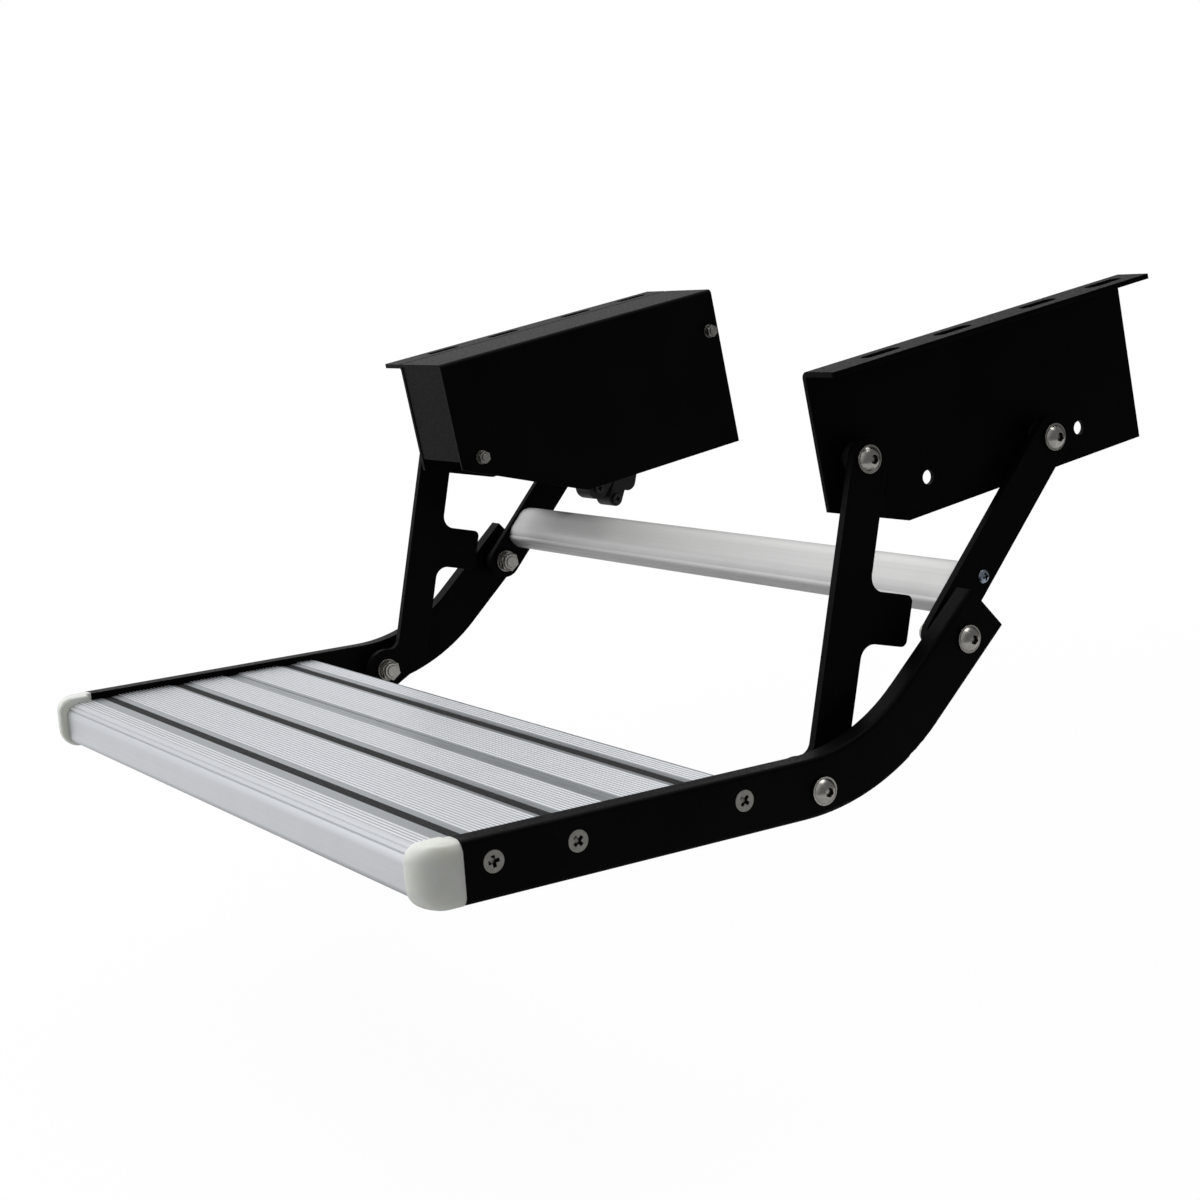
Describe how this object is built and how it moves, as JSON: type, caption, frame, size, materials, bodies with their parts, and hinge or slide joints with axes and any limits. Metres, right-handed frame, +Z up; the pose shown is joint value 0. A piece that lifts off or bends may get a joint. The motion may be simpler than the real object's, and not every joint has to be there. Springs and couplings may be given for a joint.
{
  "type": "caravan pull out step",
  "caption": "Electric pull-out entrance step: bent side arms carry a ribbed aluminium tread on folding links under two flanged chassis brackets.",
  "frame": {"origin": "middle of the mounting slots, on the plane of the flange tops that bolt up against the chassis, half way between the two brackets", "axes": "+X along the vehicle side (towards the right bracket seen from outside), -Y out from the vehicle towards the person stepping up, +Z up"},
  "size_m": [0.5614, 0.5475, 0.2319],
  "materials": {
    "black_powder_coat": "satin black powder coat",
    "stainless_fasteners": "plain stainless steel",
    "grey_screws": "dull stainless steel",
    "zinc_screws": "bright zinc plate",
    "dark_screws": "black zinc plate",
    "satin_tube": "satin anodised",
    "silver_deck": "satin silver anodised",
    "black_strip": "ribbed dark grey",
    "milky_cap": "milky off-white",
    "black_spacer": "plain black",
    "gear_housing": "black coated casting",
    "motor_black": "satin black",
    "magnet": "bare ferrite",
    "terminal_plastic": "natural",
    "brass": "plain",
    "rotor": "wound laminations, varnished",
    "steel_shaft": "ground",
    "wheel_plastic": "natural"
  },
  "bodies": {
    "chassis": {"bracket_left": "black_powder_coat", "bracket_right": "black_powder_coat", "drive_cover": "black_powder_coat", "cover_studs": "stainless_fasteners", "cover_nuts": "stainless_fasteners", "gear_case": "gear_housing", "gear_lid": "gear_housing", "gear_lid_screws": "dark_screws", "gear_mount_bolts": "stainless_fasteners", "shaft_bearing": "brass", "motor_can": "motor_black", "motor_magnets": "magnet", "motor_end_cap": "motor_black", "terminal_block": "terminal_plastic", "terminal_blades": "brass", "front_pivot_bolts": "stainless_fasteners", "front_pivot_nuts": "stainless_fasteners", "front_pivot_spacers": "black_spacer", "rear_pivot_bolt": "stainless_fasteners", "rear_pivot_nut": "stainless_fasteners", "rear_pivot_spacer": "black_spacer"},
    "motor_shaft": {"motor_rotor": "rotor", "worm_shaft": "steel_shaft"},
    "rear_links": {"drive_shaft": "steel_shaft", "worm_wheel": "wheel_plastic", "drive_shaft_bolt": "stainless_fasteners", "rear_link_left": "black_powder_coat", "rear_link_right": "black_powder_coat", "crossbar": "satin_tube", "crossbar_screws": "zinc_screws"},
    "front_links": {"front_link_left": "black_powder_coat", "front_link_right": "black_powder_coat", "front_eye_nuts": "stainless_fasteners", "front_eye_spacers": "black_spacer"},
    "tread": {"front_eye_bolts": "stainless_fasteners", "rear_eye_bolts": "stainless_fasteners", "rear_eye_nuts": "stainless_fasteners", "rear_eye_spacers": "black_spacer", "arm_left": "black_powder_coat", "arm_right": "black_powder_coat", "arm_screws": "grey_screws", "tread_nosing": "silver_deck", "plank_front": "silver_deck", "plank_rear": "silver_deck", "grip_strips": "black_strip", "end_cap_left": "milky_cap", "end_cap_right": "milky_cap"}
  },
  "joints": [
    {"name": "step_fold", "type": "hinge", "parent": "chassis", "child": "rear_links", "pos_m": [0, 0.0301, -0.0785], "axis": [1, 0, 0], "range_deg": [0, 120]},
    {"name": "front_link_swing", "type": "hinge", "parent": "chassis", "child": "front_links", "pos_m": [0, -0.1067, -0.0549], "axis": [1, 0, 0], "range_deg": [0, 80.68]},
    {"name": "tread_swing", "type": "hinge", "parent": "rear_links", "child": "tread", "pos_m": [0, -0.07546, -0.16708], "axis": [1, 0, 0], "range_deg": [-124.93, 0]},
    {"name": "worm_spin", "type": "hinge", "parent": "chassis", "child": "motor_shaft", "pos_m": [-0.211, 0.0301, -0.0445], "axis": [0, 1, 0], "range_deg": [0, 4801]}
  ],
  "couplings": [
    {"joint": "front_link_swing", "follows": "step_fold", "ratio": 0.67189},
    {"joint": "tread_swing", "follows": "step_fold", "ratio": -1.0406},
    {"joint": "worm_spin", "follows": "step_fold", "ratio": 40}
  ]
}
